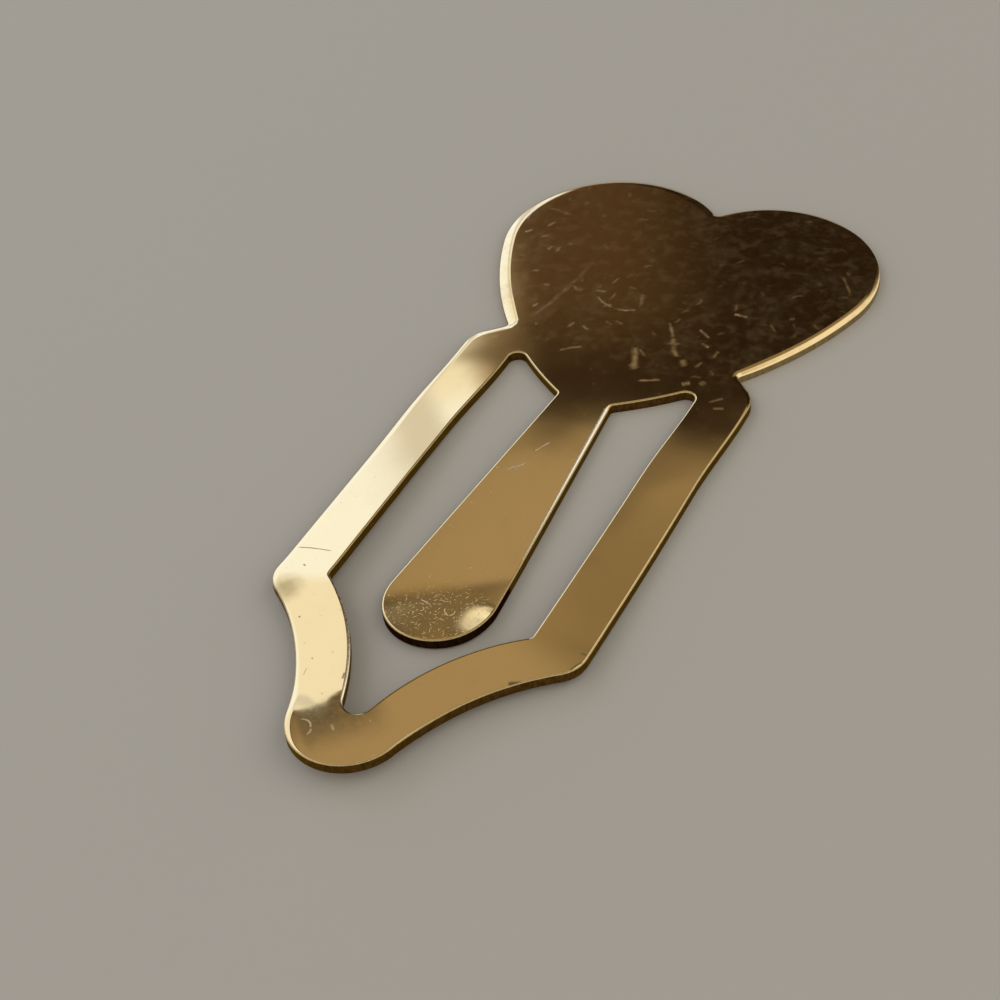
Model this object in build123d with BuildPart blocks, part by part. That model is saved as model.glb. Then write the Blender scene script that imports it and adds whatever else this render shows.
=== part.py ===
from build123d import *
import os
from math import atan2, degrees, hypot, radians, sqrt, tan

# Flat page clip blanked from one brass sheet: a heart, two arms, an ogee toe and a sprung tongue.
# Millimetres. X runs across the clip, Y along it towards the heart, Z up through the sheet.

# Sheet
clip_length = 50.0
sheet_thickness = 0.6
edge_roll_radius = 0.18

# Heart
heart_width = 23.2
heart_height = 22.1
cleft_depth = 2.13
flank_radius = 22.7
cleft_radius = 0.35

# Arms and shoulders: the frame's width over both arms is a share of the heart's width.
frame_share = 0.75
arm_width = 3.0
shoulder_run = 1.6
shoulder_angle = 45.0
shoulder_radius = 2.0
shoulder_notch_radius = 0.25
slot_corner_radius = 0.55

# Toe
elbow_height = 10.95
elbow_drop = 1.1
elbow_radius = 1.8
inner_elbow_radius = 0.35
toe_inner_radius = 13.4
toe_outer_radius = 14.2
toe_tip_radius = 3.0
toe_notch_height = 3.3
toe_notch_radius = 0.8

# Tongue
tongue_root_width = 3.2
tongue_root_radius = 0.25
tongue_end_radius = 2.95
tongue_end_clearance = 5.75

# Flex lines: each sprung leaf turns about a line a little below its root, and the frame is set up to clear the tongue.
flex_gap = 0.06
tongue_pivot_share = 0.15
arm_pivot_share = 0.15
toe_rise = 0.74

# Outlines are drawn with Y measured from the end of the toe, on a plane that centres the clip.
sheet_plane = Plane((0, -clip_length / 2, 0))
half_turn = 180
frame_width = frame_share * heart_width
arm_outer_x = frame_width / 2
arm_inner_x = arm_outer_x - arm_width
tongue_root_x = tongue_root_width / 2


def circle_crossing(first, first_radius, second, second_radius):
    """Where two circles cross, on the left of the way from the first centre to the second."""
    run = second[0] - first[0]
    rise = second[1] - first[1]
    distance = hypot(run, rise)
    along = (first_radius**2 - second_radius**2 + distance**2) / (2 * distance)
    aside = sqrt(first_radius**2 - along**2)
    x = first[0] + (along * run - aside * rise) / distance
    y = first[1] + (along * rise + aside * run) / distance
    return (x, y)


def bearing(centre, point):
    """Direction from a centre to a point, in degrees."""
    return degrees(atan2(point[1] - centre[1], point[0] - centre[0]))


def arc_between(centre, radius, start, end):
    """Arc about a centre, from the direction of one point to the direction of another."""
    first = bearing(centre, start)
    turn = (bearing(centre, end) - first + half_turn) % (2 * half_turn) - half_turn
    return CenterArc(centre, radius, first, turn)


# Heart: round lobes that fill the width and cross at the cleft, each with one flank arc to the point
lobe_radius = heart_width / 2 + cleft_depth - sqrt(cleft_depth * heart_width)
lobe_centre = (heart_width / 2 - lobe_radius, clip_length - lobe_radius)
heart_point = (0, clip_length - heart_height)
flank_centre = circle_crossing(heart_point, flank_radius, lobe_centre, flank_radius - lobe_radius)
flank_start = (lobe_centre[0] * 2 - flank_centre[0], lobe_centre[1] * 2 - flank_centre[1])
lobe_top = (lobe_centre[0], clip_length)
cleft = (0, clip_length - cleft_depth)


def flank_point(x):
    """Point of the heart's right flank at a distance x from the middle line."""
    return (x, flank_centre[1] - sqrt(flank_radius**2 - (x - flank_centre[0]) ** 2))


# Corners where the tongue, the arms and the shoulders leave the heart's flank
tongue_root = flank_point(tongue_root_x)
slot_corner = flank_point(arm_inner_x)
shoulder_notch = flank_point(arm_outer_x - shoulder_run)
shoulder_slope = tan(radians(shoulder_angle))
shoulder = (arm_outer_x, shoulder_notch[1] - shoulder_run * shoulder_slope)
shoulder_start = (0, shoulder_notch[1] + shoulder_notch[0] * shoulder_slope)

# Toe: hollow arcs inside and outside, which run onto a round notch and a round tip.
inner_elbow = (arm_inner_x, elbow_height)
outer_elbow = (arm_outer_x, elbow_height - elbow_drop)
notch_centre = (0, toe_notch_height + toe_notch_radius)
tip_centre = (0, toe_tip_radius)
inner_arc_centre = circle_crossing(
    inner_elbow, toe_inner_radius, notch_centre, toe_inner_radius + toe_notch_radius
)
outer_arc_centre = circle_crossing(
    outer_elbow, toe_outer_radius, tip_centre, toe_outer_radius + toe_tip_radius
)

# Tongue: straight sides that run from the root onto the round end
tongue_end = (0, toe_notch_height + tongue_end_clearance)
tongue_end_centre = (0, tongue_end[1] + tongue_end_radius)
root_reach = hypot(tongue_root[0], tongue_root[1] - tongue_end_centre[1])
side_length = sqrt(root_reach**2 - tongue_end_radius**2)
side_end = circle_crossing(tongue_root, side_length, tongue_end_centre, tongue_end_radius)

# Lines that the tongue and the arms flex about, and the line where the arms meet the toe
tongue_flex = tongue_root[1] - tongue_pivot_share * (tongue_root[1] - tongue_end[1])
arm_flex = slot_corner[1] - arm_pivot_share * slot_corner[1]
elbow_line = elbow_height + inner_elbow_radius

# The blank's outline: the right half of the frame, the heart and the tongue, then its mirror image
with BuildSketch(sheet_plane) as outline:
    with BuildLine():
        Polyline(tip_centre, shoulder_start, shoulder, outer_elbow)
        arc_between(outer_arc_centre, toe_outer_radius, outer_elbow, tip_centre)
        tip_arc = arc_between(tip_centre, toe_tip_radius, outer_arc_centre, (0, 0))
        Line(tip_arc @ 1, tip_centre)
    make_face()
    fillet(outline.vertices().sort_by_distance(shoulder)[0], shoulder_radius)
    fillet(outline.vertices().sort_by_distance(outer_elbow)[0], elbow_radius)
    with BuildLine():
        Polyline(notch_centre, shoulder_start, (arm_inner_x, shoulder_start[1]), inner_elbow)
        arc_between(inner_arc_centre, toe_inner_radius, inner_elbow, notch_centre)
        notch_arc = arc_between(notch_centre, toe_notch_radius, inner_arc_centre, tip_centre)
        Line(notch_arc @ 1, notch_centre)
    make_face(mode=Mode.SUBTRACT)
    fillet(outline.vertices().sort_by_distance(inner_elbow)[0], inner_elbow_radius)
    with BuildLine():
        arc_between(flank_centre, flank_radius, heart_point, lobe_centre)
        arc_between(lobe_centre, lobe_radius, flank_start, lobe_top)
        arc_between(lobe_centre, lobe_radius, lobe_top, cleft)
        Line(cleft, heart_point)
    make_face()
    with BuildLine():
        Polyline(tongue_end, (0, tongue_root[1]), tongue_root, side_end)
        arc_between(tongue_end_centre, tongue_end_radius, side_end, tongue_end)
    make_face()
    mirror(about=Plane.YZ)
    fillet(outline.vertices().sort_by_distance(cleft)[0], cleft_radius)
    for corner, radius in (
        (tongue_root, tongue_root_radius),
        (slot_corner, slot_corner_radius),
        (shoulder_notch, shoulder_notch_radius),
    ):
        for x in (corner[0], -corner[0]):
            fillet(outline.vertices().sort_by_distance((x, corner[1]))[0], radius)

# Gaps along the flex lines, one across the tongue and one across both arms
with BuildSketch(sheet_plane) as flex_lines:
    with Locations((0, tongue_flex)):
        Rectangle(2 * tongue_end_radius, flex_gap)
    with Locations((arm_inner_x + arm_width / 2, arm_flex), (-arm_inner_x - arm_width / 2, arm_flex)):
        Rectangle(2 * arm_width, flex_gap)

# The blank, with its upper edges rolled by the punch, parted along the flex lines
with BuildPart() as blank:
    extrude(outline.sketch, amount=sheet_thickness)
    fillet(blank.faces().sort_by(Axis.Z)[-1].edges(), edge_roll_radius)
    extrude(flex_lines.sketch, amount=sheet_thickness, mode=Mode.SUBTRACT)
tongue_blank, frame_blank, heart_blank = blank.solids().sort_by(SortBy.VOLUME)
elbow_plane = Plane(sheet_plane.from_local_coords((0, elbow_line, 0)), z_dir=(0, 1, 0))

# The frame, turned up about its flex line so that a page slips in over the tongue and under the toe
frame_axis = Axis(sheet_plane.from_local_coords((0, arm_flex, sheet_thickness / 2)), (1, 0, 0))
set_frame = frame_blank.rotate(frame_axis, -degrees(atan2(toe_rise, arm_flex)))

with BuildPart() as heart:
    add(heart_blank)

with BuildPart() as tongue:
    add(tongue_blank)

with BuildPart() as toe:
    add(set_frame)
    split(bisect_by=elbow_plane, keep=Keep.BOTTOM)

with BuildPart() as left_arm:
    add(set_frame)
    split(bisect_by=elbow_plane, keep=Keep.TOP)
    split(bisect_by=Plane.YZ, keep=Keep.BOTTOM)

with BuildPart() as right_arm:
    add(set_frame)
    split(bisect_by=elbow_plane, keep=Keep.TOP)
    split(bisect_by=Plane.YZ, keep=Keep.TOP)

heart.part.label = "heart"
tongue.part.label = "tongue"
toe.part.label = "toe"
left_arm.part.label = "left_arm"
right_arm.part.label = "right_arm"

os.makedirs("parts", exist_ok=True)
for piece in (heart, tongue, toe, left_arm, right_arm):
    export_step(piece.part, f"parts/{piece.part.label}.step")
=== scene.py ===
import bpy
from math import atan, atan2, ceil, cos, pi, radians, sin, sqrt, tan
import numpy as np
from mathutils import Matrix, Vector
from mathutils.geometry import delaunay_2d_cdt, intersect_line_line_2d


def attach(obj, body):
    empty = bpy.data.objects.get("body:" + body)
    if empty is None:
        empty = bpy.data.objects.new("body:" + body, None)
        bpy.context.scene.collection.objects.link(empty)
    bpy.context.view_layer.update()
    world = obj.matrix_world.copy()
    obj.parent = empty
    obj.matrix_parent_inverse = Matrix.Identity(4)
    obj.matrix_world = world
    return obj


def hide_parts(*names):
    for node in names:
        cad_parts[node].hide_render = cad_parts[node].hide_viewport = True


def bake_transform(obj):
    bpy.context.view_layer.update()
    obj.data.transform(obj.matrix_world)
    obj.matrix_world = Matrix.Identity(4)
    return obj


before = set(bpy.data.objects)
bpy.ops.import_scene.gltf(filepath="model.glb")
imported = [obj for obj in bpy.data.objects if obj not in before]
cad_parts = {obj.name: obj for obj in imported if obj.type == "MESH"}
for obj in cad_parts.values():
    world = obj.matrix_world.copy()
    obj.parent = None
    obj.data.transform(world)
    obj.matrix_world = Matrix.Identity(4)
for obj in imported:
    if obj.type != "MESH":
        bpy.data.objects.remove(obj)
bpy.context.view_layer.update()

# ---------------------------------------------------------------- the blank
# The blank is drawn in millimetres, with Y from the end of the toe, and set in the frame in metres.
MM = 0.001
CLIP_LENGTH = 50.0
SHEET = 0.6
HEART_WIDTH = 23.2
HEART_HEIGHT = 22.1
CLEFT_DEPTH = 2.13
FLANK_RADIUS = 22.7
CLEFT_RADIUS = 0.35
FRAME_SHARE = 0.75
FRAME_WIDTH = FRAME_SHARE * HEART_WIDTH
ARM_WIDTH = 3.0
SHOULDER_RUN = 1.6
SHOULDER_RADIUS = 2.0
SHOULDER_NOTCH_RADIUS = 0.25
SLOT_CORNER_RADIUS = 0.55
ELBOW_HEIGHT = 10.95
ELBOW_DROP = 1.1
ELBOW_RADIUS = 1.8
INNER_ELBOW_RADIUS = 0.35
TOE_INNER_RADIUS = 13.4
TOE_OUTER_RADIUS = 14.2
TOE_TIP_RADIUS = 3.0
TOE_NOTCH_HEIGHT = 3.3
TOE_NOTCH_RADIUS = 0.8
TONGUE_ROOT_WIDTH = 3.2
TONGUE_ROOT_RADIUS = 0.25
TONGUE_END_RADIUS = 2.95
TONGUE_END_CLEARANCE = 5.75

# Heights where one piece of the sheet passes into the next, and lines that the leaves bend about
ARM_SEAM = 30.4
TONGUE_SEAM = 28.3
TOE_SEAM = 11.3

# Spacing of points: along the drawn arcs, along the finished edge, across the top and across the back
DRAW_STEP = 0.02
EDGE_STEP = 0.15
TOP_STEP = 0.36
BACK_STEP = 0.7


def crossing(first, first_radius, second, second_radius):
    """Where two circles cross, on the left of the way from the first centre to the second."""
    way = second - first
    far = way.length
    along = (first_radius**2 - second_radius**2 + far**2) / (2 * far)
    aside = sqrt(first_radius**2 - along**2)
    way.normalize()
    return first + way * along + Vector((-way.y, way.x)) * aside


def arc(centre, start, end):
    """Points of the arc round a centre, from a start to the bearing of an end, the short way."""
    radius = (start - centre).length
    first = atan2(start.y - centre.y, start.x - centre.x)
    turn = (atan2(end.y - centre.y, end.x - centre.x) - first + pi) % (2 * pi) - pi
    steps = max(2, ceil(abs(turn) * radius / DRAW_STEP))
    angles = [first + turn * i / steps for i in range(steps + 1)]
    return [centre + Vector((cos(angle), sin(angle))) * radius for angle in angles]


def sides(run, closed=False):
    """Unit vectors to the left of a run of points, one for each point."""
    found = []
    for i in range(len(run)):
        before = run[i - 1] if closed or i else run[0]
        after = run[(i + 1) % len(run)] if closed or i + 1 < len(run) else run[-1]
        way = (after - before).normalized()
        found.append(Vector((-way.y, way.x)))
    return found


def rounded(first, second, radius):
    """Two runs joined by a round corner, where the second starts at the end of the first."""
    way_in, way_out = first[-1] - first[-2], second[1] - second[0]
    turn = 1 if way_in.x * way_out.y > way_in.y * way_out.x else -1
    beside_first = [p + side * radius * turn for p, side in zip(first, sides(first))]
    beside_second = [p + side * radius * turn for p, side in zip(second, sides(second))]
    for i in range(len(first) - 2, -1, -1):
        for j in range(len(second) - 1):
            centre = intersect_line_line_2d(*beside_first[i:i + 2], *beside_second[j:j + 2])
            if centre:
                leave = centre - sides(first[i:i + 2])[0] * radius * turn
                join = centre - sides(second[j:j + 2])[0] * radius * turn
                return first[:i + 1] + arc(centre, leave, join) + second[j + 1:]
    raise ValueError("the corner is too wide for its runs")


def even(run, levels):
    """The same run with points about an edge step apart, and one at each of these heights."""
    stretches, stretch = [], [run[0]]
    for a, b in zip(run, run[1:]):
        passed = [level for level in levels if (a.y - level) * (b.y - level) < 0]
        for share in sorted((level - a.y) / (b.y - a.y) for level in passed):
            cut = a.lerp(b, share)
            stretches.append(stretch + [cut])
            stretch = [cut]
        stretch.append(b)
    stretches.append(stretch)
    spaced = [run[0]]
    for stretch in stretches:
        reach = [0.0]
        for a, b in zip(stretch, stretch[1:]):
            reach.append(reach[-1] + (b - a).length)
        count = max(1, round(reach[-1] / EDGE_STEP))
        places = [reach[-1] * i / count for i in range(1, count + 1)]
        xs = np.interp(places, reach, [p.x for p in stretch])
        ys = np.interp(places, reach, [p.y for p in stretch])
        spaced += [Vector(point) for point in zip(xs, ys)]
    return spaced


def mirrored(run):
    """The same run on the left half, walked back."""
    return [Vector((-p.x, p.y)) for p in reversed(run)]


def blank_edges():
    """The outside and the slot round the tongue as closed loops, with the sheet on their left."""
    lobe_radius = HEART_WIDTH / 2 + CLEFT_DEPTH - sqrt(CLEFT_DEPTH * HEART_WIDTH)
    lobe = Vector((HEART_WIDTH / 2 - lobe_radius, CLIP_LENGTH - lobe_radius))
    point = Vector((0, CLIP_LENGTH - HEART_HEIGHT))
    flank = crossing(point, FLANK_RADIUS, lobe, FLANK_RADIUS - lobe_radius)
    arm_outer = FRAME_WIDTH / 2
    arm_inner = arm_outer - ARM_WIDTH

    def on_flank(x):
        return Vector((x, flank.y - sqrt(FLANK_RADIUS**2 - (x - flank.x) ** 2)))

    tongue_root = on_flank(TONGUE_ROOT_WIDTH / 2)
    slot_corner = on_flank(arm_inner)
    notch = on_flank(arm_outer - SHOULDER_RUN)
    shoulder = Vector((arm_outer, notch.y - SHOULDER_RUN))
    outer_elbow = Vector((arm_outer, ELBOW_HEIGHT - ELBOW_DROP))
    inner_elbow = Vector((arm_inner, ELBOW_HEIGHT))

    tip = Vector((0, TOE_TIP_RADIUS))
    outer_hollow = crossing(outer_elbow, TOE_OUTER_RADIUS, tip, TOE_OUTER_RADIUS + TOE_TIP_RADIUS)
    cleft = Vector((0, lobe.y + sqrt((lobe_radius + CLEFT_RADIUS) ** 2 - lobe.x**2)))
    outside = arc(tip, Vector((0, 0)), outer_hollow)
    outside += arc(outer_hollow, outside[-1], outer_elbow)[1:]
    outside = rounded(outside, [outer_elbow, shoulder], ELBOW_RADIUS)
    outside = rounded(outside, [shoulder, notch], SHOULDER_RADIUS)
    outside = rounded(outside, arc(flank, notch, lobe), SHOULDER_NOTCH_RADIUS)
    outside += arc(lobe, outside[-1], cleft)[1:]
    outside += arc(cleft, outside[-1], Vector((0, cleft.y - CLEFT_RADIUS)))[1:]

    toe_notch = Vector((0, TOE_NOTCH_HEIGHT + TOE_NOTCH_RADIUS))
    inner_hollow = crossing(
        inner_elbow, TOE_INNER_RADIUS, toe_notch, TOE_INNER_RADIUS + TOE_NOTCH_RADIUS
    )
    tongue_end = Vector((0, TOE_NOTCH_HEIGHT + TONGUE_END_CLEARANCE))
    paddle = tongue_end + Vector((0, TONGUE_END_RADIUS))
    side_length = sqrt((tongue_root - paddle).length_squared - TONGUE_END_RADIUS**2)
    side_end = crossing(tongue_root, side_length, paddle, TONGUE_END_RADIUS)
    slot = arc(paddle, tongue_end, side_end)
    slot += [tongue_root]
    slot = rounded(slot, arc(flank, tongue_root, slot_corner), TONGUE_ROOT_RADIUS)
    slot = rounded(slot, [slot_corner, inner_elbow], SLOT_CORNER_RADIUS)
    slot = rounded(slot, arc(inner_hollow, inner_elbow, toe_notch), INNER_ELBOW_RADIUS)
    slot += arc(toe_notch, slot[-1], tip)[1:]

    levels = (TOE_SEAM, TONGUE_SEAM, ARM_SEAM)
    loops = []
    for run in (outside, slot):
        half = even(run, levels)
        half[0].x = half[-1].x = 0
        loops.append(half + mirrored(half)[1:-1])
    return loops


def ramp(low, high, value):
    """0 below the low value, 1 above the high one, and smooth between."""
    share = min(1, max(0, (value - low) / (high - low)))
    return share * share * (3 - 2 * share)


# ---------------------------------------------------------------- the punched edge
# The punch rolls the upper edge over: a shallow crown, a small round, then the sheared wall.
CROWN_STEPS = 4
ROUND_STEPS = 5
WALL_STEPS = 3
WALL_FOOT = 0.05
FOOT_BREAK = 0.03
# Width of the crown, its drop and the radius of the round
HEART_EDGE_LEFT = Vector((0.60, 0.15, 0.12))
HEART_EDGE_RIGHT = Vector((0.36, 0.09, 0.12))
FRAME_EDGE_LEFT = Vector((0.30, 0.045, 0.07))
FRAME_EDGE_RIGHT = Vector((0.07, 0.016, 0.055))
SLOT_EDGE = Vector((0.05, 0.012, 0.06))
TONGUE_ROOT_EDGE = Vector((0.17, 0.075, 0.06))
LIMB_INNER_EDGE = Vector((0.05, 0.012, 0.11))
# Where one edge passes into another, as heights on the blank or as distances from its middle line
HEART_EDGE_RISE = (30.0, 35.4)
HEART_EDGE_TURN = (-2.5, 2.5)
FRAME_EDGE_TURN = (0.6, 2.9)
ROOT_EDGE_START = (15.0, 27.5)
ROOT_EDGE_END = (28.9, 28.4)
ROOT_EDGE_REACH = 3.2
LIMB_EDGE_START = (11.2, 9.8)
LIMB_EDGE_END = (0.4, 1.4)
# The slot's edge belongs to the toe's limbs below the elbow, and in the tongue's width below its end.
TONGUE_SIDE = 3.0
UNDER_TONGUE = 9.0
WORN_HIGHLIGHT_LIMB_START = 0.4
TORN_LIMB_START = 0.6
LEFT, RIGHT = -1, 1


def on_limb(point, side, start):
    """Whether a point of the slot's edge lies along the toe's limb on one side, past a start."""
    outward = side * point.x
    return outward > start and point.y < (ELBOW_HEIGHT if outward > TONGUE_SIDE else UNDER_TONGUE)


def edge_sizes(point, on_slot):
    """Crown, drop and round of the edge at a point: full round the heart, small along the slots."""
    if on_slot:
        beside_root = beside_limb = 0
        if 0 < point.x < ROOT_EDGE_REACH:
            beside_root = ramp(*ROOT_EDGE_START, point.y) * ramp(*ROOT_EDGE_END, point.y)
        if on_limb(point, LEFT, WORN_HIGHLIGHT_LIMB_START):
            beside_limb = ramp(*LIMB_EDGE_START, point.y) * ramp(*LIMB_EDGE_END, -point.x)
        return SLOT_EDGE.lerp(TONGUE_ROOT_EDGE, beside_root).lerp(LIMB_INNER_EDGE, beside_limb)
    along_frame = FRAME_EDGE_RIGHT.lerp(FRAME_EDGE_LEFT, ramp(*FRAME_EDGE_TURN, -point.x))
    round_heart = HEART_EDGE_RIGHT.lerp(HEART_EDGE_LEFT, ramp(*HEART_EDGE_TURN, -point.x))
    return along_frame.lerp(round_heart, ramp(*HEART_EDGE_RISE, point.y))


def edge_rows(point, on_slot):
    """How far in and how high each row of the edge lies, from the flat top to the flat back."""
    crown, drop, corner = edge_sizes(point, on_slot)
    rows = []
    for i in range(CROWN_STEPS + 1):
        share = i / CROWN_STEPS
        rows.append((corner + crown * (1 - share), SHEET - drop * share**2))
    lean = atan(2 * drop / crown)
    for i in range(1, ROUND_STEPS + 1):
        angle = lean + (pi / 2 - lean) * i / ROUND_STEPS
        inset = corner * (1 - sin(angle)) / (1 - sin(lean))
        rows.append((inset, SHEET - drop - corner * (cos(lean) - cos(angle))))
    wall_top = rows[-1][1]
    rows += [(0, wall_top / 2), (0, WALL_FOOT), (FOOT_BREAK, 0)]
    return rows


# ---------------------------------------------------------------- how the used sheet lies
# The used clip isn't quite flat: its frame rises to the toe, sweeps to the left, dips at the right arm
# and is twisted at both sides. A pair of values says where a change starts and where it is full.
FRAME_SLOPE = 0.029
FRAME_EASE = 10.0
FRAME_SWEEP = -0.225
SWEEP_START = (0, 6.0)
SWEEP_FOOT = 2.0
SWEEP_LENGTH = 22.0
RIGHT_DIP = 0.12
RIGHT_DIP_START = (1.5, 12.5)
RIGHT_DIP_END = (24.0, 12.5)
# Each side twists about the middle line of its arm, and further down about that of the toe's limb.
LEFT_TWIST = -tan(radians(8.0))
RIGHT_TWIST = -tan(radians(2.9))
LEFT_TWIST_RISE = (0, 11.0)
RIGHT_TWIST_RISE = (3.0, 15.0)
ARM_X = 7.2
LIMB_TO_ARM = (8.6, 12.0)
TOE_LIMB = Vector((4.4, 6.6))
TOE_LIMB_WAY = Vector((-0.69, -0.72))
LIMB_SKEW = 1.0
TWIST_END = (2.9, 6.3)
TWIST_MIDDLE = (0, 1.2)
# The tongue's end is curled up along a slanting fold, and dented at its right side.
TONGUE_CURL = 0.026
TONGUE_FOLD_HEIGHT = 13.9
TONGUE_FOLD_SLOPE = 0.85
TONGUE_FOLD_EASE = 1.8
TONGUE_DENT = 0.022
DENT_START = 1.1
DENT_TOP = (12.6, 11.3)
DENT_FOOT = (9.2, 10.8)


def flat(p):
    """The heart lies flat."""
    return p


def eased(distance, ease):
    """Distance past the start of a bend that eases in."""
    distance = max(0, distance)
    return distance**2 / (2 * ease) if distance < ease else distance - ease / 2


def sprung_frame(p):
    """Where a point of the arms or the toe goes when the flat frame is bent as it lies."""
    below = ARM_SEAM - p.y
    if below <= 0:
        return p
    rise = FRAME_SLOPE * eased(below, FRAME_EASE)
    if p.x > 0:
        rise -= RIGHT_DIP * ramp(*RIGHT_DIP_START, below) * ramp(*RIGHT_DIP_END, below)
    outward = Vector((abs(p.x), p.y))
    along_limb = (outward - TOE_LIMB).dot(TOE_LIMB_WAY)
    across_limb = TOE_LIMB_WAY.cross(outward - TOE_LIMB)
    across = across_limb + (outward.x - ARM_X - across_limb) * ramp(*LIMB_TO_ARM, p.y)
    twist, twist_rise = (RIGHT_TWIST, RIGHT_TWIST_RISE) if p.x > 0 else (LEFT_TWIST, LEFT_TWIST_RISE)
    slanted = along_limb + LIMB_SKEW * across_limb
    reach = ramp(*twist_rise, below) * (1 - ramp(*TWIST_END, slanted)) * ramp(*TWIST_MIDDLE, outward.x)
    sweep = FRAME_SWEEP * ramp(*SWEEP_START, below) * min(1, max(0, (p.y - SWEEP_FOOT) / SWEEP_LENGTH))
    return Vector((p.x + sweep, p.y, p.z + rise + twist * across * reach))


def curled_tongue(p):
    """Where a point of the tongue goes when its end is curled up and dented."""
    reach = eased(TONGUE_FOLD_HEIGHT - p.y + TONGUE_FOLD_SLOPE * p.x, TONGUE_FOLD_EASE)
    dent = TONGUE_DENT * max(0, p.x - DENT_START) ** 2 * ramp(*DENT_TOP, p.y) * ramp(*DENT_FOOT, p.y)
    return Vector((p.x, p.y, p.z + TONGUE_CURL * reach + dent))


# ---------------------------------------------------------------- meshes of the sheet
POLISHED, BURNISHED, SHEARED_SHADED, WORN_HIGHLIGHT, SHADED_WALL = range(5)
TOP, BACK, CAP = range(3)
# Stretches of edge with their own finish: round the heart, beside the tongue's root with a painted
# highlight, and at its end with painted shade
HEART_WALL_FOOT = 33.6
WORN_HIGHLIGHT_ROOT_ACROSS = (0.8, 3.2)
WORN_HIGHLIGHT_ROOT_ALONG = (16.0, 28.4)
SHADED_END_REACH = 3.3
SHADED_END_ALONG = (8.5, 14.0)
# The grid that fills a face: rise from row to row and distance from the rim, both in steps
ROW_RISE = 0.866
RIM_CLEARANCE = 0.6
INSIDE_FACES = 1
SAME_PLACE = 1e-7
NORMAL_DIGITS = 5

outside_loop, slot_loop = blank_edges()
edge_sides = {}
for loop in (outside_loop, slot_loop):
    for spot, inward in zip(loop, sides(loop, closed=True)):
        edge_sides[id(spot)] = inward


def within(span, value):
    """Whether a value lies inside a span."""
    return span[0] < value < span[1]


def edge_finishes(spot, on_slot):
    """Finish of each row of faces down the edge: polished crown, duller round, sheared wall darkened in
    part with painted shade.
    """
    crown, round_edge, wall = POLISHED, BURNISHED, SHEARED_SHADED
    if not on_slot:
        # Round the heart the wall is lighter than elsewhere: the darker walls are in part painted shade
        if spot.y > HEART_WALL_FOOT:
            round_edge, wall = POLISHED, BURNISHED
    elif on_limb(spot, RIGHT, TORN_LIMB_START):
        crown, round_edge = SHEARED_SHADED, SHEARED_SHADED
    # Pale worn rounds and crowns: wear, and a painted highlight that shows white
    elif on_limb(spot, LEFT, WORN_HIGHLIGHT_LIMB_START):
        round_edge = WORN_HIGHLIGHT
    elif within(WORN_HIGHLIGHT_ROOT_ACROSS, spot.x) and within(WORN_HIGHLIGHT_ROOT_ALONG, spot.y):
        crown = WORN_HIGHLIGHT
    # The wall at the tongue's end is painted near-black as the shade of the slot
    elif abs(spot.x) < SHADED_END_REACH and within(SHADED_END_ALONG, spot.y):
        wall = SHADED_WALL
    return [crown] * CROWN_STEPS + [round_edge] * ROUND_STEPS + [wall] * WALL_STEPS


def stretch_of(loop, start, end):
    """The part of a loop from the point nearest to a start to the point nearest to an end."""

    def nearest(place):
        return min(range(len(loop)), key=lambda i: (loop[i] - Vector(place)).length)

    first, last = nearest(start), nearest(end)
    if last < first:
        last += len(loop)
    return [loop[i % len(loop)] for i in range(first, last + 1)]


def filling(rim, step):
    """Points of an even grid inside a closed rim, clear of it, and triangles over all the points."""
    edge = np.array([(p.x, p.y) for p in rim])
    low, high = edge.min(0), edge.max(0)
    spots = []
    for row in range(int((high[1] - low[1]) / (step * ROW_RISE)) + 1):
        shift = step * (3 / 4 if row % 2 else 1 / 4)
        for column in range(int((high[0] - low[0]) / step) + 1):
            spots.append((low[0] + shift + column * step, low[1] + (row + 1 / 2) * step * ROW_RISE))
    spots = np.array(spots)
    clear = np.full(len(spots), True)
    inside = np.full(len(spots), False)
    for a, b in zip(edge, np.roll(edge, -1, 0)):
        clear &= ((spots - a) ** 2).sum(1) > (RIM_CLEARANCE * step) ** 2
        crosses = (a[1] > spots[:, 1]) != (b[1] > spots[:, 1])
        if crosses.any():
            reach = a[0] + (spots[:, 1] - a[1]) * (b[0] - a[0]) / (b[1] - a[1])
            inside ^= crosses & (spots[:, 0] < reach)
    grid = [Vector(spot) for spot in spots[clear & inside]]
    count = len(rim)
    rim_edges = [(i, (i + 1) % count) for i in range(count)]
    known = rim + grid
    _, _, faces, sources, _, _ = delaunay_2d_cdt(known, rim_edges, [], INSIDE_FACES, SAME_PLACE)
    triangles = []
    for face in faces:
        a, b, c = (sources[i][0] for i in face)
        area = (known[b] - known[a]).cross(known[c] - known[a])
        triangles.append((a, b, c) if area > 0 else (a, c, b))
    return grid, triangles


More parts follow.
